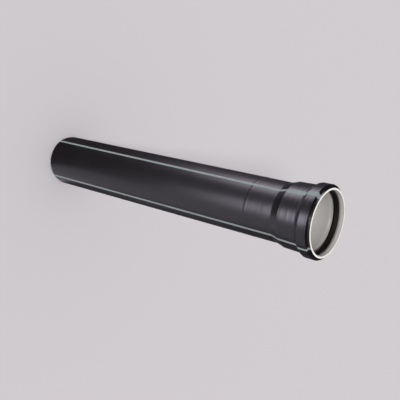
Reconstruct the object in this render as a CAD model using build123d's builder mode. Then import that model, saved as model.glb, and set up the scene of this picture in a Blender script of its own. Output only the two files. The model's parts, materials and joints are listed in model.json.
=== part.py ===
"""Push-fit drain pipe: a plain barrel with a heat-formed socket, and its rubber lip seal."""
import os

from build123d import *

# All lengths are in millimetres. The pipe stands on its spigot end at z = 0, as it does in a
# stack, with its centreline on the Z axis and the mouth of its socket at the top.

# Barrel
pipe_diameter = 90.0
wall = 3.0
effective_length = 500.0
spigot_chamfer_length = 5.0
spigot_chamfer_depth = 1.3

# Socket, whose depth is how far the next pipe's spigot goes in
socket_depth = 60.0
cone_length = 10.0
sleeve_clearance = 0.5
sleeve_flare = 1.1
bead_height = 4.4
bead_width = 16.0
bead_back_slope = 4.5
bead_front_wall = 5.2
lip_length = 3.5
lip_clearance = 1.8
lip_bevel = 0.8

# Rounded corners of the socket, on the outside of the pipe
cone_round = 9.0
sleeve_root_round = 6.0
bead_foot_round = 4.0
bead_back_round = 5.0
bead_front_round = 2.4

# Sealing ring, whose lip bites on the next pipe's spigot
seal_clearance = 0.1
seal_width = 10.0
seal_nose_clearance = 0.7
seal_nose_bevel = 0.9
seal_bite = 1.4
seal_lip_reach = 6.0
seal_lip_thickness = 1.5
seal_lip_bevel = 0.4
seal_heel_thickness = 2.4
seal_heel_bevel = 0.8
seal_root_width = 2.8

# Radii of the pipe
pipe_radius = pipe_diameter / 2
bore_radius = pipe_radius - wall
spigot_edge_radius = pipe_radius - spigot_chamfer_depth
sleeve_root_radius = pipe_radius + sleeve_clearance + wall
sleeve_end_radius = sleeve_root_radius + sleeve_flare
bead_radius = sleeve_end_radius + bead_height
groove_radius = bead_radius - wall
lip_bore_radius = pipe_radius + lip_clearance
lip_radius = lip_bore_radius + wall

# Heights up the pipe. The next spigot stops at the effective length, where the inside of the
# cone has narrowed to the spigot's bevelled edge.
mouth_z = effective_length + socket_depth
cone_rise = sleeve_root_radius - pipe_radius
stop_share = (sleeve_root_radius - wall - spigot_edge_radius) / cone_rise
sleeve_root_z = effective_length + cone_length * stop_share
cone_foot_z = sleeve_root_z - cone_length
bead_front_z = mouth_z - lip_length
bead_back_z = bead_front_z - bead_width
bead_foot_z = bead_back_z - bead_back_slope
groove_front_z = bead_front_z - bead_front_wall


def inside_corner(before, corner, after):
    """The corner on the bore side that keeps the wall's thickness on both runs that meet here."""
    first = (Vector(*corner) - Vector(*before)).normalized()
    second = (Vector(*after) - Vector(*corner)).normalized()
    first_inward = Vector(-first.Y, first.X)
    second_inward = Vector(-second.Y, second.X)
    shift = (first_inward + second_inward) * (wall / (1 + first_inward.dot(second_inward)))
    moved = Vector(*corner) + shift
    return (moved.X, moved.Y)


def corner_of(section, place):
    """The section's corner at a place (r, z)."""
    return section.vertices().sort_by_distance(Vector(*place))[0]


# Outside of the pipe's section, from the spigot end up to the mouth, as (r, z)
spigot_edge = (spigot_edge_radius, 0)
spigot_shoulder = (pipe_radius, spigot_chamfer_length)
cone_foot = (pipe_radius, cone_foot_z)
sleeve_root = (sleeve_root_radius, sleeve_root_z)
bead_foot = (sleeve_end_radius, bead_foot_z)
bead_back = (bead_radius, bead_back_z)
bead_front = (bead_radius, bead_front_z)
lip_root = (lip_radius, bead_front_z)
lip_edge = (lip_radius, mouth_z)

# Bore side of the pipe's section, from the mouth down to the spigot end
mouth_edge = (lip_bore_radius, mouth_z)
groove_lip = (lip_bore_radius, groove_front_z)
groove_front = (groove_radius, groove_front_z)
groove_back = inside_corner(bead_foot, bead_back, bead_front)
groove_foot = inside_corner(sleeve_root, bead_foot, bead_back)
sleeve_stop = inside_corner(cone_foot, sleeve_root, bead_foot)
bore_end = inside_corner(spigot_shoulder, cone_foot, sleeve_root)
bore_start = (bore_radius, 0)

with BuildPart() as pipe:
    with BuildSketch(Plane.XZ) as pipe_section:
        with BuildLine():
            Polyline(
                spigot_edge, spigot_shoulder, cone_foot, sleeve_root, bead_foot, bead_back,
                bead_front, lip_root, lip_edge, mouth_edge, groove_lip, groove_front,
                groove_back, groove_foot, sleeve_stop, bore_end, bore_start, close=True,
            )
        make_face()
        for place, radius in (
            (cone_foot, cone_round),
            (bore_end, cone_round + wall),
            (sleeve_root, sleeve_root_round),
            (sleeve_stop, sleeve_root_round - wall),
            (bead_foot, bead_foot_round),
            (groove_foot, bead_foot_round + wall),
            (bead_back, bead_back_round),
            (groove_back, bead_back_round - wall),
            (bead_front, bead_front_round),
        ):
            fillet(corner_of(pipe_section, place), radius=radius)
        for place in (lip_root, lip_edge, mouth_edge):
            chamfer(corner_of(pipe_section, place), length=lip_bevel)
    revolve(axis=Axis.Z)

# Sealing ring: a nose against the front of the groove, a heel lying along the groove's floor,
# and a shorter lip that leans down and inwards, which a spigot bends open as it goes in
seal_outer_radius = groove_radius - seal_clearance
seal_front_z = groove_front_z
seal_back_z = seal_front_z - seal_width
seal_root_z = seal_front_z - seal_root_width
lip_tip_z = seal_front_z - seal_lip_reach
nose_radius = pipe_radius + seal_nose_clearance
tip_radius = pipe_radius - seal_bite
heel_radius = seal_outer_radius - seal_heel_thickness

seal_outer_front = (seal_outer_radius, seal_front_z)
seal_nose = (nose_radius, seal_front_z)
lip_tip = (tip_radius, lip_tip_z)
lip_back = (tip_radius + seal_lip_thickness, lip_tip_z)
lip_inner_root = (nose_radius + seal_lip_thickness, seal_root_z)
heel_root = (heel_radius, seal_root_z)
heel_end = (heel_radius, seal_back_z)
seal_outer_back = (seal_outer_radius, seal_back_z)

with BuildPart() as seal_ring:
    with BuildSketch(Plane.XZ) as seal_section:
        with BuildLine():
            Polyline(
                seal_outer_front, seal_nose, lip_tip, lip_back, lip_inner_root,
                heel_root, heel_end, seal_outer_back, close=True,
            )
        make_face()
        chamfer(corner_of(seal_section, seal_nose), length=seal_nose_bevel)
        chamfer(corner_of(seal_section, lip_tip), length=seal_lip_bevel)
        chamfer(corner_of(seal_section, lip_back), length=seal_lip_bevel)
        chamfer(corner_of(seal_section, heel_end), length=seal_heel_bevel)
        chamfer(corner_of(seal_section, seal_outer_back), length=seal_heel_bevel)
    revolve(axis=Axis.Z)

pipe.part.label = "pipe"
seal_ring.part.label = "seal_ring"

os.makedirs("parts", exist_ok=True)
export_step(pipe.part, "parts/pipe.step")
export_step(seal_ring.part, "parts/seal_ring.step")
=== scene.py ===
"""Push-fit drain pipe: a black pipe with pale green stripes, a pale bore and a rubber lip seal."""
import json
import math
from collections import namedtuple

import bmesh
import bpy
from bpy.props import FloatProperty, FloatVectorProperty, IntProperty, PointerProperty
from mathutils import Matrix, Vector


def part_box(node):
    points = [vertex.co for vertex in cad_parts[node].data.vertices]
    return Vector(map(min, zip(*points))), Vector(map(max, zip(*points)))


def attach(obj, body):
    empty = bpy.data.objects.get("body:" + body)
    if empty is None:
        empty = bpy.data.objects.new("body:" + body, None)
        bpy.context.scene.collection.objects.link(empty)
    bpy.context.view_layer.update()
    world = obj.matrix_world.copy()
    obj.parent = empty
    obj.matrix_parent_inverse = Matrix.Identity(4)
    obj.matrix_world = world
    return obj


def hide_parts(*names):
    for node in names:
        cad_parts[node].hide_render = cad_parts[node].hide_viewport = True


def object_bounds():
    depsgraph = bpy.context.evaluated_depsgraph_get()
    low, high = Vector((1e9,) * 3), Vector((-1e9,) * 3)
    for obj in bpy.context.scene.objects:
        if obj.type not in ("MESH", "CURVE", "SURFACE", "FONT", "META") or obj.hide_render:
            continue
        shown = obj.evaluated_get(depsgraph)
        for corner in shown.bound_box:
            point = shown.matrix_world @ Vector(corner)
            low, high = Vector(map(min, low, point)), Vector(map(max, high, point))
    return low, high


bl_info = {
    "name": "Push-fit drain pipe",
    "version": (1, 0, 0),
    "blender": (4, 5, 0),
    "location": "3D View > Sidebar > Drain pipe",
    "description": "Models a short drain pipe with a heat-formed socket and its sealing ring",
    "category": "Add Mesh",
}

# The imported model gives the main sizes: the radii of the spigot, bead and seal, and the heights of
# the mouth and the seal
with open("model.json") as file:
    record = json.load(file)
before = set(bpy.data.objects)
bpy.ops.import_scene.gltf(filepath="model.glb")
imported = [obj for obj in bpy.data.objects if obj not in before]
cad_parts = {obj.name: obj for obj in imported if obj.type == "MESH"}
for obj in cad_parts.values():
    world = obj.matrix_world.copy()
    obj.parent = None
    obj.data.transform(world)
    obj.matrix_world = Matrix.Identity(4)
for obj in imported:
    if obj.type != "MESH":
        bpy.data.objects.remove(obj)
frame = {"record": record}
cad_low, cad_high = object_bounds()
seal_low, seal_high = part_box("seal_ring")
mounts = {mount["name"]: mount for mount in frame["record"]["mounts"]}
MM = 0.001
SPIGOT_RADIUS = mounts["spigot"]["dims"]["r_mm"] * MM
SPIGOT_WALL_START = mounts["spigot"]["pos_m"][2] - mounts["spigot"]["dims"]["length_mm"] * MM / 2
MOUTH_HEIGHT = cad_high.z
BEAD_RADIUS = cad_high.x


# Settings


def length(name, description, default):
    """A size in metres that a user may change."""
    return FloatProperty(
        name=name, description=description, default=default, min=0.0,
        unit="LENGTH", subtype="DISTANCE", precision=4,
    )


def angle(name, description, degrees):
    """An angle that a user may change."""
    return FloatProperty(
        name=name, description=description, default=math.radians(degrees),
        unit="ROTATION", subtype="ANGLE",
    )


def colour(name, description, default):
    """A colour that a user may change."""
    return FloatVectorProperty(
        name=name, description=description, default=default, size=3, min=0.0, max=1.0, subtype="COLOR"
    )


def share(name, description, default):
    """A number from 0 to 1 that a user may change."""
    return FloatProperty(
        name=name, description=description, default=default, min=0.0, max=1.0, subtype="FACTOR"
    )


class DrainPipeSizes(bpy.types.PropertyGroup):
    """Sizes of the pipe and its socket."""

    pipe_radius: length("Pipe radius", "Outside radius of the barrel", SPIGOT_RADIUS)
    wall: length("Wall", "Thickness of the wall", 3 * MM)
    bevel_length: length("Spigot bevel length", "How far the bevel runs up the spigot", SPIGOT_WALL_START)
    bevel_depth: length("Spigot bevel depth", "How far the bevel comes in", 1.3 * MM)
    bevel_round: length("Spigot bevel round", "Radius of the corner above the bevel", 2 * MM)
    mouth_height: length("Mouth height", "Height of the socket's mouth", MOUTH_HEIGHT)
    socket_depth: length("Socket depth", "How far the next spigot goes in", 60 * MM)
    cone_length: length("Cone length", "Length of the cone below the socket", 10 * MM)
    sleeve_clearance: length("Sleeve clearance", "Gap between the sleeve and a spigot", 0.5 * MM)
    sleeve_flare: length("Sleeve flare", "How much the sleeve widens upwards", 1.1 * MM)
    bead_radius: length("Bead radius", "Outside radius of the bead over the seal", BEAD_RADIUS)
    bead_width: length("Bead width", "Width of the bead's crest", 16 * MM)
    bead_back_slope: length("Bead back slope", "Length of the slope behind the bead", 4.5 * MM)
    bead_front_wall: length("Bead front wall", "Thickness of the wall before the seal", 5.2 * MM)
    lip_length: length("Lip length", "How far the lip stands before the bead", 3.5 * MM)
    lip_clearance: length("Lip clearance", "Gap between the lip and a spigot", 1.8 * MM)
    edge_round: length("Edge round", "Radius of the mouth's cut edges", 0.25 * MM)
    skin_at_mouth: length("Skin at the mouth", "Black skin that shows on the cut face", 0.12 * MM)
    spin_steps: IntProperty(
        name="Spin steps", description="Faces round the pipe", default=192, min=24, max=400
    )


class DrainPipeForming(bpy.types.PropertyGroup):
    """How heat forming marks the barrel, and rounds and moves the corners of the socket."""

    mark_height: length("Mark height", "Height of the forming mark on the barrel", 450 * MM)
    mark_width: length("Mark width", "Width of the forming mark", 4.6 * MM)
    mark_relief: length("Mark relief", "How far the forming mark stands out", 0.32 * MM)
    mark_lean: share("Mark lean", "How far down its lower half the mark's crest lies", 0.3)
    mark_edge_round: length("Mark edge round", "Radius of the mark's two edges", 2 * MM)
    mark_crest_round: length("Mark crest round", "Radius of the mark's crest", 3 * MM)
    cone_foot_round: length("Cone foot round", "Radius where the cone starts", 5 * MM)
    cone_foot_drop: length("Cone foot drop", "How much lower the cone starts outside", 1 * MM)
    sleeve_root_round: length("Sleeve root round", "Radius above the cone", 2.4 * MM)
    sleeve_root_rise: length("Sleeve root rise", "How much higher the sleeve starts outside", 1.2 * MM)
    bead_foot_round: length("Bead foot round", "Radius below the bead's slope", 3 * MM)
    bead_foot_rise: length("Bead foot rise", "How much higher the slope starts outside", 0.4 * MM)
    bead_back_round: length("Bead back round", "Radius of the bead's back corner", 4 * MM)
    bead_back_rise: length("Bead back rise", "How much higher the crest starts outside", 0.7 * MM)
    bead_front_round: length("Bead front round", "Radius of the bead's front corner", 1.1 * MM)
    bead_front_drop: length("Bead front drop", "How much lower the crest ends outside", 0.6 * MM)
    lip_root_round: length("Lip root round", "Radius between the bead and the lip", 0.8 * MM)
    bore_end_round: length("Bore end round", "Radius of the bore where the cone starts", 12 * MM)
    sleeve_stop_round: length("Sleeve stop round", "Radius inside, above the cone", 3 * MM)
    groove_foot_round: length("Groove foot round", "Radius inside, below the groove", 7 * MM)
    groove_back_round: length("Groove back round", "Radius of the groove's back corner", 2 * MM)


class DrainPipeSealSizes(bpy.types.PropertyGroup):
    """Sizes of the sealing ring."""

    front_height: length("Front height", "Height of the ring's front face", seal_high.z)
    back_height: length("Back height", "Height of the heel's end", seal_low.z)
    outer_radius: length("Outer radius", "Radius of the ring in its groove", seal_high.x)
    nose_clearance: length("Nose clearance", "Gap between the nose and a spigot", 0.7 * MM)
    bite: length("Bite", "How far the lip reaches inside a spigot's surface", 1.4 * MM)
    lip_reach: length("Lip reach", "How far the lip comes back from the front", 6 * MM)
    lip_thickness: length("Lip thickness", "Thickness of the lip", 1.5 * MM)
    heel_thickness: length("Heel thickness", "Thickness of the heel", 2.4 * MM)
    root_width: length("Root width", "Width of the solid front of the ring", 2.8 * MM)
    nose_round: length("Nose round", "Radius of the nose", 1.2 * MM)
    lip_round: length("Lip round", "Radius of the lip's edges", 0.5 * MM)
    heel_round: length("Heel round", "Radius of the heel's edges", 0.8 * MM)


class DrainPipeLook(bpy.types.PropertyGroup):
    """Colours and finishes of the pipe and its seal."""

    skin: colour("Skin", "Colour of the black outside", (0.0066, 0.0058, 0.0068))
    stripe: colour("Stripe", "Colour of the long stripes", (0.234, 0.280, 0.271))
    bore: colour("Bore", "Colour of the pale inner layer", (0.790, 0.757, 0.726))
    # The lip bore colour is the pale inner layer darkened: painted shade inside the lip
    lip_bore: colour("Lip bore", "Colour inside the lip before the seal", (0.520, 0.496, 0.480))
    core: colour("Core", "Colour of the wall where it is cut", (0.970, 0.960, 0.895))
    rubber: colour("Rubber", "Colour of the sealing ring", (0.0060, 0.0050, 0.0040))
    skin_roughness: share("Skin roughness", "Roughness of the extruded skin", 0.33)
    stripe_roughness: share("Stripe roughness", "Roughness of the stripes", 0.95)
    stripe_count: IntProperty(
        name="Stripes", description="Stripes round the pipe", default=4, min=1, max=12
    )
    stripe_width: length("Stripe width", "Width of one stripe on the barrel", 3.8 * MM)
    stripe_spread: length("Stripe spread", "What two stripes gain each way on the socket", 2 * MM)
    stripe_waver: length("Stripe waver", "How far the edges of the stripes waver", 0.4 * MM)
    stripe_blur: length("Stripe blur", "How far each way the edge of a stripe fades", 0.2 * MM)
    stripe_turn: angle("Stripe turn", "Direction of the first stripe, turned from +X", 26.75)
    stripe_twist: angle("Stripe twist", "How far the stripes wind round by the mouth", 2.6)
    stripe_unevenness: angle("Stripe unevenness", "How uneven their spacing is at the spigot", 2.15)
    stripe_unevenness_left: share("Unevenness left", "Share of the unevenness left at the mouth", 0.15)


class DrainPipeStage(bpy.types.PropertyGroup):
    """Floor, light and camera."""

    sky: colour("Sky", "Colour of the light all round, and behind the floor", (0.624, 0.597, 0.617))
    floor: colour("Floor", "Colour of the floor", (0.637, 0.622, 0.635))
    floor_size: length("Floor size", "Half the side of the floor", 14.0)
    key_strength: FloatProperty(
        name="Key strength", description="Strength of the soft key light", default=1.98, min=0.0
    )
    key_size: angle("Key size", "Angle that the key light fills", 10.0)
    key_turn: angle("Key turn", "Direction that the key light comes from, turned from +X", 251.0)
    key_rise: angle("Key rise", "How high the key light stands over the floor", 37.0)
    tent_radius: length("Tent radius", "Radius of the tent that the gloss mirrors", 0.5)
    tent_height: length("Tent height", "Height of the tent that the gloss mirrors", 0.65)
    tent_tint: colour("Tent tint", "Colour of the light in the tent", (0.93, 0.86, 1.00))
    tent_top: share("Tent top", "Brightness of the tent's dim top", 0.06)
    lens: FloatProperty(
        name="Lens", description="Focal length of the camera", default=55.213,
        unit="CAMERA", subtype="DISTANCE_CAMERA",
    )


class DrainPipeSettings(bpy.types.PropertyGroup):
    """All the settings of the drain pipe."""

    sizes: PointerProperty(name="Sizes", description="Sizes of the pipe", type=DrainPipeSizes)
    forming: PointerProperty(name="Forming", description="Marks of forming", type=DrainPipeForming)
    seal: PointerProperty(name="Seal", description="Sizes of the seal", type=DrainPipeSealSizes)
    look: PointerProperty(name="Look", description="Colours and finishes", type=DrainPipeLook)
    stage: PointerProperty(name="Stage", description="Floor, light and camera", type=DrainPipeStage)


def drain(context):
    """The settings of the drain pipe in this scene."""
    return context.scene.drain_pipe


# Shapes

# Points this close are one: the ends of two runs that meet
MERGE_DISTANCE = 0.002 * MM

# Slots of the pipe's materials
SKIN, BORE, CORE = range(3)


def round_corner(mesh, vert, radius, segments):
    """Bevels a corner of a wire to an arc of that radius."""
    one, other = (edge.other_vert(vert).co - vert.co for edge in vert.link_edges)
    turn = math.pi - one.angle(other)
    bmesh.ops.bevel(
        mesh, geom=[vert], offset=radius * math.tan(turn / 2), offset_type="OFFSET",
        segments=segments, profile=0.5, affect="VERTICES", material=-1,
    )


def turned_run(mesh, run, steps, material=0, closed=False, segments=8, longest=8 * MM):
    """Spins a run of (radius, height, round) corners about the pipe's centreline into faces."""
    faces_before = set(mesh.faces)
    verts = [mesh.verts.new((radius, 0.0, height)) for radius, height, _ in run]
    pairs = list(zip(verts, verts[1:])) + ([(verts[-1], verts[0])] if closed else [])
    for pair in pairs:
        mesh.edges.new(pair)
    for vert, (_, _, rounding) in zip(verts, run):
        if rounding:
            round_corner(mesh, vert, rounding, segments)
    for edge in [edge for edge in mesh.edges if edge.is_wire]:
        cuts = int(edge.calc_length() / longest)
        if cuts:
            bmesh.ops.subdivide_edges(mesh, edges=[edge], cuts=cuts)
    wire = [edge for edge in mesh.edges if edge.is_wire]
    section = list({vert for edge in wire for vert in edge.verts})
    bmesh.ops.spin(
        mesh, geom=section + wire, cent=(0, 0, 0), axis=(0, 0, 1), dvec=(0, 0, 0),
        angle=math.tau, steps=steps, use_merge=True, use_duplicate=False,
    )
    for face in set(mesh.faces) - faces_before:
        face.material_index = material
        face.smooth = True


def finished_piece(name, mesh, materials):
    """Turns the shape into an object at the origin that rides on the pipe's body."""
    bmesh.ops.remove_doubles(mesh, verts=mesh.verts, dist=MERGE_DISTANCE)
    bmesh.ops.recalc_face_normals(mesh, faces=mesh.faces)
    data = bpy.data.meshes.new(name)
    mesh.to_mesh(data)
    mesh.free()
    for material in materials:
        data.materials.append(material)
    piece = bpy.data.objects.new(name, data)
    bpy.context.scene.collection.objects.link(piece)
    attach(piece, "root")
    return piece


def pipe_runs(sizes, forming):
    """The pipe's section in four runs of (radius, height, round): skin, cut mouth, bore, cut spigot."""
    wall = sizes.wall
    radius = sizes.pipe_radius
    mouth = sizes.mouth_height
    spigot_edge = radius - sizes.bevel_depth

    # The next spigot stops where the inside of the cone has narrowed to its bevelled edge
    sleeve_root = radius + sizes.sleeve_clearance + wall
    sleeve_end = sleeve_root + sizes.sleeve_flare
    stop_share = (sleeve_root - wall - spigot_edge) / (sleeve_root - radius)
    sleeve_root_height = mouth - sizes.socket_depth + sizes.cone_length * stop_share
    cone_foot_height = sleeve_root_height - sizes.cone_length

    bead = sizes.bead_radius
    bead_front = mouth - sizes.lip_length
    bead_back = bead_front - sizes.bead_width
    bead_foot = bead_back - sizes.bead_back_slope
    bead_face = bead_front - forming.bead_front_drop
    groove_front = bead_front - sizes.bead_front_wall
    lip_bore = radius + sizes.lip_clearance
    lip = lip_bore + wall

    mark = forming.mark_height
    half_mark = forming.mark_width / 2
    mark_crest = (radius + forming.mark_relief, mark - forming.mark_lean * half_mark)

    # Where one run ends, the next one starts
    spigot_outside = (spigot_edge, 0.0, 0.0)
    spigot_inside = (radius - wall, 0.0, 0.0)
    mouth_outside = (lip - sizes.skin_at_mouth, mouth, 0.0)
    mouth_inside = (lip_bore, mouth - 2 * sizes.edge_round, 0.0)

    skin = [
        spigot_outside,
        (radius, sizes.bevel_length, sizes.bevel_round),
        (radius, mark - half_mark, forming.mark_edge_round),
        (*mark_crest, forming.mark_crest_round),
        (radius, mark + half_mark, forming.mark_edge_round),
        (radius, cone_foot_height - forming.cone_foot_drop, forming.cone_foot_round),
        (sleeve_root, sleeve_root_height + forming.sleeve_root_rise, forming.sleeve_root_round),
        (sleeve_end, bead_foot + forming.bead_foot_rise, forming.bead_foot_round),
        (bead, bead_back + forming.bead_back_rise, forming.bead_back_round),
        (bead, bead_face, forming.bead_front_round),
        (lip, bead_face, forming.lip_root_round),
        (lip, mouth - sizes.edge_round, 0.0),
        mouth_outside,
    ]
    mouth_cut = [mouth_outside, (lip_bore, mouth, sizes.edge_round), mouth_inside]

    def inside(before, corner, after):
        """The bore side's corner that keeps the wall's thickness on both runs that meet here."""
        first = (Vector(corner) - Vector(before)).normalized()
        second = (Vector(after) - Vector(corner)).normalized()
        inward = Vector((-first.y, first.x)) + Vector((-second.y, second.x))
        return tuple(Vector(corner) + inward * (wall / (1 + first.dot(second))))

    bevel = (radius, sizes.bevel_length)
    cone_foot = (radius, cone_foot_height)
    root = (sleeve_root, sleeve_root_height)
    foot = (sleeve_end, bead_foot)
    back = (bead, bead_back)
    front = (bead, bead_front)
    bore = [
        mouth_inside,
        (lip_bore, groove_front, 0.0),
        (bead - wall, groove_front, 0.0),
        (*inside(foot, back, front), forming.groove_back_round),
        (*inside(root, foot, back), forming.groove_foot_round),
        (*inside(cone_foot, root, foot), forming.sleeve_stop_round),
        (*inside(bevel, cone_foot, root), forming.bore_end_round),
        spigot_inside,
    ]
    spigot_cut = [spigot_inside, spigot_outside]
    return skin, mouth_cut, bore, spigot_cut


class OBJECT_OT_drain_pipe_body(bpy.types.Operator):
    """Add the pipe, with its spigot, socket and pale bore"""

    bl_idname = "object.drain_pipe_body"
    bl_label = "Pipe"

    def execute(self, context):
        settings = drain(context)
        sizes, forming, look = settings.sizes, settings.forming, settings.look
        mesh = bmesh.new()
        for run, slot in zip(pipe_runs(sizes, forming), (SKIN, CORE, BORE, CORE)):
            turned_run(mesh, run, sizes.spin_steps, slot)
        materials = (skin_material(look, sizes, forming), bore_material(look, sizes), core_material(look))
        piece = finished_piece("drain_pipe", mesh, materials)
        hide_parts("pipe")
        return {"FINISHED"}


class OBJECT_OT_drain_pipe_seal(bpy.types.Operator):
    """Add the rubber sealing ring in the socket's groove"""

    bl_idname = "object.drain_pipe_seal"
    bl_label = "Sealing ring"

    def execute(self, context):
        settings = drain(context)
        seal = settings.seal
        front, back = seal.front_height, seal.back_height
        root = front - seal.root_width
        tip_height = front - seal.lip_reach
        nose = settings.sizes.pipe_radius + seal.nose_clearance
        tip = settings.sizes.pipe_radius - seal.bite
        heel = seal.outer_radius - seal.heel_thickness
        section = [
            (seal.outer_radius, front, 0.0),
            (nose, front, seal.nose_round),
            (tip, tip_height, seal.lip_round),
            (tip + seal.lip_thickness, tip_height, seal.lip_round),
            (nose + seal.lip_thickness, root, 0.0),
            (heel, root, 0.0),
            (heel, back, seal.heel_round),
            (seal.outer_radius, back, seal.heel_round),
        ]
        mesh = bmesh.new()
        turned_run(mesh, section, settings.sizes.spin_steps, closed=True, longest=2 * MM)
        piece = finished_piece("sealing_ring", mesh, (rubber_material(settings.look),))
        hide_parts("seal_ring")
        return {"FINISHED"}


# Materials

PLASTIC_IOR = 1.47
RUBBER_IOR = 1.5

# Most of a noise's values lie between the low and the high one
NOISE_LOW = 0.3
NOISE_MIDDLE = 0.5
NOISE_HIGH = 0.7

# A point of the surface: its place, its turn about the centreline, its radius and its height
PipePoint = namedtuple("PipePoint", ("place", "turn", "radius", "height"))


def add_node(tree, kind, inputs=None, **settings):
    """Adds a node, sets its settings, and sets or links its sockets."""
    made = tree.nodes.new(kind)
    for name, value in settings.items():
        setattr(made, name, value)
    set_sockets(tree, made, inputs or {})
    return made


def set_sockets(tree, node, inputs):
    """Sets the node's sockets, or links them."""
    for name, value in inputs.items():
        if isinstance(value, bpy.types.NodeSocket):
            tree.links.new(value, node.inputs[name])
        else:
            node.inputs[name].default_value = value


def maths(tree, operation, first, second=0.0):
    """The result of a Math node."""
    return add_node(tree, "ShaderNodeMath", {0: first, 1: second}, operation=operation).outputs[0]


def minus(tree, first, second):
    """The first value less the second."""
    return maths(tree, "SUBTRACT", first, second)


def times(tree, first, second):
    """The product of two values."""
    return maths(tree, "MULTIPLY", first, second)


def weighted(tree, start, *parts):
    """The start value, and added to it each part's value times its weight."""
    total = start
    for value, weight in parts:
        inputs = {0: value, 1: weight, 2: total}
        total = add_node(tree, "ShaderNodeMath", inputs, operation="MULTIPLY_ADD").outputs[0]
    return total


def ramp(tree, value, low, high, to_low=0.0, to_high=1.0, kind="SMOOTHSTEP"):
    """The value carried from one range to another, and held at its ends."""
    inputs = {"Value": value, "From Min": low, "From Max": high, "To Min": to_low, "To Max": to_high}
    return add_node(tree, "ShaderNodeMapRange", inputs, interpolation_type=kind).outputs["Result"]


def band(tree, value, middle, rises, falls):
    """1 in a band about the middle, and 0 outside it. It rises and falls over the given offsets."""
    rising = ramp(tree, value, middle + rises[0], middle + rises[1])
    falling = ramp(tree, value, middle + falls[0], middle + falls[1], 1.0, 0.0)
    return times(tree, rising, falling)


def between(tree, amount, first, second):
    """The value between two values."""
    return add_node(tree, "ShaderNodeMix", {"Factor": amount, "A": first, "B": second}).outputs[0]


def blend(tree, amount, first, second):
    """The colour between two colours."""
    made = add_node(tree, "ShaderNodeMix", {"Factor": amount}, data_type="RGBA")
    for socket, value in ((made.inputs[6], first), (made.inputs[7], second)):
        if isinstance(value, bpy.types.NodeSocket):
            tree.links.new(value, socket)
        else:
            socket.default_value = (*value, 1.0)
    return made.outputs[2]


def shade(tint, factor):
    """A lighter or darker shade of a colour."""
    return tuple(min(1.0, value * factor) for value in tint)


def noise(tree, place, scale, detail=3.0, roughness=0.5):
    """The value of a Noise Texture node."""
    inputs = {"Vector": place, "Scale": scale, "Detail": detail, "Roughness": roughness}
    return add_node(tree, "ShaderNodeTexNoise", inputs).outputs["Fac"]


def streaks(tree, at, across, along, detail=4.0, roughness=0.6):
    """Noise that is drawn out, with its scale across the pipe and its scale along it."""
    inputs = {"Vector": at.place, "Scale": (across, across, along)}
    place = add_node(tree, "ShaderNodeMapping", inputs, vector_type="POINT").outputs[0]
    return noise(tree, place, 1.0, detail, roughness)


def from_noise(tree, value, to_low=0.0, to_high=1.0):
    """A noise carried to another range."""
    return ramp(tree, value, NOISE_LOW, NOISE_HIGH, to_low, to_high)


def relief(tree, heights, depth, strength=0.5):
    """The normal of a surface with fine relief."""
    inputs = {"Strength": strength, "Distance": depth, "Height": heights}
    return add_node(tree, "ShaderNodeBump", inputs).outputs["Normal"]


def new_material(name):
    """A material with a plain Principled shader: returns the material, its tree and the shader."""
    material = bpy.data.materials.new(name)
    material.use_nodes = True
    tree = material.node_tree
    return material, tree, tree.nodes["Principled BSDF"]


def round_the_pipe(tree):
    """The point of the surface, from its Object coordinates."""
    place = add_node(tree, "ShaderNodeTexCoord").outputs["Object"]
    split = add_node(tree, "ShaderNodeSeparateXYZ", {"Vector": place}).outputs
    turn = maths(tree, "ARCTAN2", split["Y"], split["X"])
    flat = add_node(tree, "ShaderNodeCombineXYZ", {"X": split["X"], "Y": split["Y"], "Z": 0.0})
    radius = add_node(tree, "ShaderNodeVectorMath", {0: flat.outputs[0]}, operation="LENGTH")
    return PipePoint(place, turn, radius.outputs["Value"], split["Z"])


def stripe_mask(tree, at, look, sizes):
    """1 on the long stripes, and 0 between them."""
    spacing = math.tau / look.stripe_count
    wound = times(tree, at.height, look.stripe_twist / sizes.mouth_height)
    from_first = minus(tree, minus(tree, at.turn, look.stripe_turn), wound)

    # Two neighbouring stripes lie a little back from even spacing, and the other two lie forward.
    # The pair value is about 0.7 at those that lie back and -0.7 at those that lie forward.
    pair = maths(tree, "SINE", minus(tree, from_first, spacing / 2))
    uneven = look.stripe_unevenness
    uneven_at_mouth = uneven * look.stripe_unevenness_left
    off = ramp(tree, at.height, 0.0, sizes.mouth_height, uneven, uneven_at_mouth, kind="LINEAR")
    turns = maths(tree, "DIVIDE", weighted(tree, from_first, (pair, off)), spacing)
    from_nearest = maths(tree, "ABSOLUTE", minus(tree, turns, maths(tree, "ROUND", turns)))
    distance = times(tree, times(tree, from_nearest, spacing), at.radius)

    # The edges waver, and the pair that lies back spreads where the sleeve was stretched to its size
    waver = streaks(tree, at, across=40.0, along=25.0, detail=2.0, roughness=0.5)
    waver = minus(tree, waver, NOISE_MIDDLE)
    sleeve_start = sizes.mouth_height - sizes.socket_depth + 4 * MM
    socket_ramp = ramp(tree, at.height, sleeve_start, sleeve_start + 8 * MM, 0.0, look.stripe_spread)
    in_back_pair = ramp(tree, pair, -0.6, 0.6)
    distance = weighted(tree, distance, (waver, look.stripe_waver))
    distance = minus(tree, distance, times(tree, socket_ramp, in_back_pair))
    half_width = look.stripe_width / 2
    return ramp(tree, distance, half_width - look.stripe_blur, half_width + look.stripe_blur, 1.0, 0.0)


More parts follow.
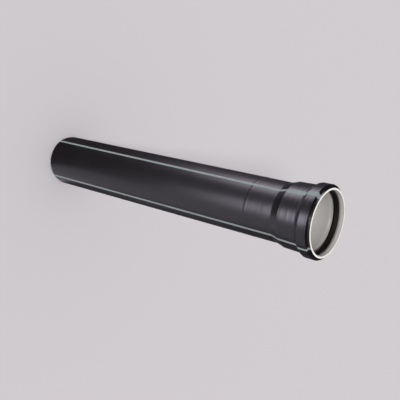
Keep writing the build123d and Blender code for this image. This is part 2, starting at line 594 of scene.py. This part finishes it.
def skin_material(look, sizes, forming):
    """Satin black plastic with long stripes, drawn lines on the barrel and turned lines on the socket."""
    material, tree, shader = new_material("pipe_skin")
    at = round_the_pipe(tree)
    stripe = stripe_mask(tree, at, look, sizes)

    # Where the surface lies: above the forming mark, and on the barrel, cone, bead's slope and bead
    cone_middle = sizes.mouth_height - sizes.socket_depth
    bead_foot = sizes.mouth_height - sizes.lip_length - sizes.bead_width - sizes.bead_back_slope
    formed = ramp(tree, at.height, forming.mark_height - 4 * MM, forming.mark_height + 2 * MM)
    on_barrel = ramp(tree, at.height, cone_middle - 8 * MM, cone_middle + 8 * MM, 1.0, 0.0)
    on_cone = band(tree, at.height, cone_middle, rises=(-8 * MM, -4 * MM), falls=(5 * MM, 8 * MM))
    on_slope = band(tree, at.height, bead_foot, rises=(-2 * MM, 0.0), falls=(4 * MM, 6 * MM))
    on_bead = ramp(tree, at.height, bead_foot, bead_foot + 3 * MM)

    # The barrel is drawn, so its lines run along it. The formed end is turned, so they run round it,
    # and it has faint ripples. The bead is pebbled.
    drawn_lines = streaks(tree, at, across=900.0, along=3.0)
    turned_lines = streaks(tree, at, across=14.0, along=900.0)
    lines = between(tree, formed, drawn_lines, turned_lines)
    ripple = times(tree, streaks(tree, at, across=9.0, along=170.0, detail=2.0, roughness=0.5), formed)
    pebble = times(tree, noise(tree, at.place, scale=700.0, detail=2.0), on_bead)
    grain = noise(tree, at.place, scale=1400.0, detail=2.0)
    cloud = noise(tree, at.place, scale=22.0)
    heights = weighted(tree, 0.0, (lines, 0.7), (grain, 0.2), (pebble, 1.6), (ripple, 36.0))

    # The barrel is a little duller than the socket, the bead's slope is the dullest, and the cone
    # has the most gloss
    tone = weighted(tree, 0.0, (cloud, 0.5), (lines, 0.5))
    variation = 0.14
    rough = weighted(
        tree, look.skin_roughness - variation / 2,
        (tone, variation), (on_barrel, 0.05), (on_slope, 0.35), (on_cone, -0.10),
    )
    tone = from_noise(tree, tone)
    skin = blend(tree, tone, shade(look.skin, 0.72), shade(look.skin, 1.4))
    stripe_tone = blend(tree, tone, shade(look.stripe, 0.9), shade(look.stripe, 1.1))
    set_sockets(tree, shader, {
        "Base Color": blend(tree, stripe, skin, stripe_tone),
        "Roughness": between(tree, stripe, rough, look.stripe_roughness),
        "IOR": PLASTIC_IOR,
        "Normal": relief(tree, heights, depth=0.03 * MM),
    })
    return material


def bore_material(look, sizes):
    """Pale satin inner layer with faint drawn lines, with painted shade that darkens it towards the
    groove and inside the lip before the seal.
    """
    material, tree, shader = new_material("pipe_bore")
    at = round_the_pipe(tree)
    lines = streaks(tree, at, across=500.0, along=4.0)
    cloud = noise(tree, at.place, scale=18.0)
    tone = weighted(tree, 0.0, (cloud, 0.6), (lines, 0.4))
    unshaded_bore = blend(tree, from_noise(tree, tone), shade(look.bore, 0.93), shade(look.bore, 1.05))

    # Painted shade: the pale layer is darkened more and more up the socket, towards the groove's back
    bead_front = sizes.mouth_height - sizes.lip_length
    groove_front = bead_front - sizes.bead_front_wall
    groove_back = bead_front - sizes.bead_width
    socket_ramp = ramp(tree, at.height, groove_back - 55 * MM, groove_back, kind="LINEAR")
    inner = blend(tree, socket_ramp, unshaded_bore, shade(look.bore, 0.48))
    # Inside the lip before the seal the colour turns to the lip bore colour, painted shade of the pale
    # layer
    in_lip = ramp(tree, at.height, groove_front - 1 * MM, groove_front)
    set_sockets(tree, shader, {
        "Base Color": blend(tree, in_lip, inner, look.lip_bore[:]),
        "Roughness": from_noise(tree, tone, 0.34, 0.46),
        "IOR": PLASTIC_IOR,
        "Normal": relief(tree, lines, depth=0.02 * MM, strength=0.4),
    })
    return material


def core_material(look):
    """White wall where it is cut, with faint marks of the cutter round it."""
    material, tree, shader = new_material("pipe_core")
    at = round_the_pipe(tree)
    marks_scale = 3000.0
    across = times(tree, at.radius, marks_scale)
    along = times(tree, at.height, marks_scale)
    place = add_node(tree, "ShaderNodeCombineXYZ", {"X": across, "Y": along, "Z": 0.0}).outputs[0]
    cutter_marks = noise(tree, place, scale=1.0)
    cloud = noise(tree, at.place, scale=60.0)
    tone = weighted(tree, 0.0, (cutter_marks, 0.4), (cloud, 0.6))
    set_sockets(tree, shader, {
        "Base Color": blend(tree, from_noise(tree, tone), shade(look.core, 0.95), look.core[:]),
        "Roughness": from_noise(tree, tone, 0.42, 0.56),
        "IOR": PLASTIC_IOR,
        "Normal": relief(tree, cutter_marks, depth=0.03 * MM),
    })
    return material


def rubber_material(look):
    """Matt black rubber with a fine moulded grain and a little dust."""
    material, tree, shader = new_material("seal_rubber")
    at = round_the_pipe(tree)
    grain = noise(tree, at.place, scale=1500.0, detail=2.0)
    mould_lines = streaks(tree, at, across=6.0, along=1400.0, detail=2.0, roughness=0.5)
    dust = streaks(tree, at, across=60.0, along=220.0)
    dusty = ramp(tree, dust, 0.45, 0.75)
    heights = weighted(tree, 0.0, (grain, 0.5), (mould_lines, 0.5))
    set_sockets(tree, shader, {
        "Base Color": blend(tree, dusty, look.rubber[:], shade(look.rubber, 2.1)),
        "Roughness": from_noise(tree, dust, 0.56, 0.70),
        "IOR": RUBBER_IOR,
        "Specular IOR Level": 0.18,
        "Normal": relief(tree, heights, depth=0.03 * MM),
    })
    return material


# Stage

# The camera's place, the point that it aims at, and the side of the pipe that is up in its picture
CAMERA_PLACE = Vector((-0.28566, -0.71873, 0.93546))
CAMERA_AIM = Vector((0.01335, -0.00033, 0.33047))
CAMERA_UP = Vector((-1.0, 0.0, 0.0))

# The floor lies this far below the pipe's end, so that their faces don't flicker
FLOOR_GAP = 0.1 * MM

# The tent's reach is measured in metres from the middle of its floor, out along the floor and up the
# side. Over each "reach", the light goes from the first to the second radiance.
TENT_SEGMENTS = 128
TENT_CLOTH = {"reach": (0.2, 0.6), "radiance": (0.04, 0.13)}

# Panels of light in the tent, which add to the cloth. A panel's turn, its half width and the width
# of its soft edges are in degrees round the pipe, and over its "fade" its light goes out again.
TENT_PANELS = (
    {"turn": 173.5, "half_width": 9.5, "softness": 13.0, "reach": (0.41, 0.72),
     "fade": (0.95, 1.02), "radiance": (0.05, 7.1)},
    {"turn": 255.0, "half_width": 6.5, "softness": 12.5, "reach": (0.47, 0.80),
     "fade": (0.87, 1.00), "radiance": (0.05, 9.2)},
    {"turn": 217.0, "half_width": 12.0, "softness": 14.0, "reach": (0.44, 0.66),
     "fade": (0.70, 0.80), "radiance": (0.0, 0.5)},
    {"turn": 303.0, "half_width": 20.0, "softness": 20.0, "reach": (0.05, 0.40),
     "fade": (0.95, 1.02), "radiance": (0.74, 0.84)},
    {"turn": 70.0, "half_width": 8.0, "softness": 14.0, "reach": (0.40, 0.80),
     "fade": (0.95, 1.02), "radiance": (0.30, 4.0)},
    {"turn": 354.0, "half_width": 8.0, "softness": 14.0, "reach": (0.05, 0.30),
     "fade": (0.38, 0.75), "radiance": (0.04, 0.26)},
)


def turned_to(direction, up):
    """The turn of a camera or lamp that looks along the direction, with that side up."""
    back = -direction.normalized()
    right = up.cross(back).normalized()
    return Matrix((right, back.cross(right), back)).transposed().to_4x4()


def glowing(name, tint):
    """A material that only glows: returns the material, its tree and the emission's strength."""
    material = bpy.data.materials.new(name)
    material.use_nodes = True
    tree = material.node_tree
    tree.nodes.remove(tree.nodes["Principled BSDF"])
    emission = add_node(tree, "ShaderNodeEmission", {"Color": (*tint, 1.0)})
    tree.links.new(emission.outputs[0], tree.nodes["Material Output"].inputs["Surface"])
    return material, tree, emission.inputs["Strength"]


def tent_side_material(stage):
    """Dim cloth with soft panels of light on the tent's side and floor."""
    material, tree, strength = glowing("tent_side", stage.tent_tint)
    at = round_the_pipe(tree)
    reach = maths(tree, "ADD", at.radius, at.height)
    glow = ramp(tree, reach, *TENT_CLOTH["reach"], *TENT_CLOTH["radiance"])
    for panel in TENT_PANELS:
        facing = maths(tree, "COSINE", minus(tree, at.turn, math.radians(panel["turn"])))
        edge = math.cos(math.radians(panel["half_width"] + panel["softness"]))
        full = math.cos(math.radians(panel["half_width"]))
        inside = ramp(tree, facing, edge, full)
        light = ramp(tree, reach, *panel["reach"], *panel["radiance"])
        light = times(tree, light, ramp(tree, reach, *panel["fade"], 1.0, 0.0))
        glow = weighted(tree, glow, (inside, light))
    tree.links.new(glow, strength)
    return material


def tent_top_material(stage):
    """Dim cloth over the top of the tent."""
    material, _, strength = glowing("tent_top", stage.tent_tint)
    strength.default_value = stage.tent_top
    return material


def add_tent(context, stage):
    """A round tent about the pipe that only gloss sees, so that the black skin has soft gleams."""
    mesh = bmesh.new()
    for height in (0.0, stage.tent_height):
        bmesh.ops.create_circle(
            mesh, cap_ends=True, radius=stage.tent_radius, segments=TENT_SEGMENTS,
            matrix=Matrix.Translation((0.0, 0.0, height)),
        )
    top = mesh.faces[:][-1]
    bmesh.ops.bridge_loops(mesh, edges=mesh.edges[:])
    top.material_index = 1
    data = bpy.data.meshes.new("tent")
    mesh.to_mesh(data)
    mesh.free()
    data.materials.append(tent_side_material(stage))
    data.materials.append(tent_top_material(stage))
    tent = bpy.data.objects.new("tent", data)
    for ray in ("camera", "diffuse", "transmission", "volume_scatter", "shadow"):
        setattr(tent, "visible_" + ray, False)
    context.scene.collection.objects.link(tent)


def add_floor(context, stage):
    """A wide matt floor."""
    mesh = bmesh.new()
    bmesh.ops.create_grid(mesh, x_segments=1, y_segments=1, size=stage.floor_size)
    data = bpy.data.meshes.new("floor")
    mesh.to_mesh(data)
    mesh.free()
    material, tree, shader = new_material("floor")
    finish = {"Base Color": (*stage.floor, 1.0), "Roughness": 0.9, "Specular IOR Level": 0.0}
    set_sockets(tree, shader, finish)
    data.materials.append(material)
    floor = bpy.data.objects.new("floor", data)
    floor.location.z = -FLOOR_GAP
    context.scene.collection.objects.link(floor)


def add_light(context, stage):
    """Even light from all round, and one soft key light."""
    world = context.scene.world or bpy.data.worlds.new("world")
    context.scene.world = world
    world.use_nodes = True
    background = world.node_tree.nodes["Background"]
    background.inputs["Color"].default_value = (*stage.sky, 1.0)
    background.inputs["Strength"].default_value = 1.0

    sun = bpy.data.lights.new("key", "SUN")
    sun.energy = stage.key_strength
    sun.angle = stage.key_size
    key = bpy.data.objects.new("key", sun)
    level = math.cos(stage.key_rise)
    key_from = Vector((
        level * math.cos(stage.key_turn), level * math.sin(stage.key_turn), math.sin(stage.key_rise)
    ))
    key.matrix_world = turned_to(-key_from, Vector((0.0, 0.0, 1.0)))
    context.scene.collection.objects.link(key)


def add_camera(context, stage):
    """The camera, which sees the standing pipe as if it lay with its mouth to the right."""
    lens = bpy.data.cameras.new("camera")
    lens.lens = stage.lens
    camera = bpy.data.objects.new("camera", lens)
    turned = turned_to(CAMERA_AIM - CAMERA_PLACE, CAMERA_UP)
    camera.matrix_world = Matrix.Translation(CAMERA_PLACE) @ turned
    context.scene.collection.objects.link(camera)
    context.scene.camera = camera


class SCENE_OT_drain_pipe_stage(bpy.types.Operator):
    """Add the pale floor, the soft light and the camera"""

    bl_idname = "scene.drain_pipe_stage"
    bl_label = "Stage"

    def execute(self, context):
        stage = drain(context).stage
        add_floor(context, stage)
        add_light(context, stage)
        add_tent(context, stage)
        add_camera(context, stage)
        context.scene.view_settings.view_transform = "Standard"
        return {"FINISHED"}


# Panel and registration

OPERATORS = (OBJECT_OT_drain_pipe_body, OBJECT_OT_drain_pipe_seal, SCENE_OT_drain_pipe_stage)


class VIEW3D_PT_drain_pipe(bpy.types.Panel):
    """The pieces of the drain pipe, and its settings"""

    bl_idname = "VIEW3D_PT_drain_pipe"
    bl_label = "Drain pipe"
    bl_space_type = "VIEW_3D"
    bl_region_type = "UI"
    bl_category = "Drain pipe"

    def draw(self, context):
        settings = drain(context)
        for operator in OPERATORS:
            self.layout.operator(operator.bl_idname)
        for group in (settings.sizes, settings.forming, settings.seal, settings.look, settings.stage):
            box = self.layout.box()
            for name in group.__annotations__:
                box.prop(group, name)


CLASSES = (
    DrainPipeSizes, DrainPipeForming, DrainPipeSealSizes, DrainPipeLook, DrainPipeStage,
    DrainPipeSettings, *OPERATORS, VIEW3D_PT_drain_pipe,
)


def register():
    """Registers the settings, the operators and the panel."""
    for made in CLASSES:
        bpy.utils.register_class(made)
    bpy.types.Scene.drain_pipe = PointerProperty(
        name="Drain pipe", description="Settings of the drain pipe", type=DrainPipeSettings
    )


def unregister():
    """Takes the settings, the operators and the panel away."""
    del bpy.types.Scene.drain_pipe
    for made in reversed(CLASSES):
        bpy.utils.unregister_class(made)


def main():
    """Builds the pipe and its stage."""
    register()
    bpy.ops.object.drain_pipe_body()
    bpy.ops.object.drain_pipe_seal()
    bpy.ops.scene.drain_pipe_stage()


if __name__ == "__main__":
    main()
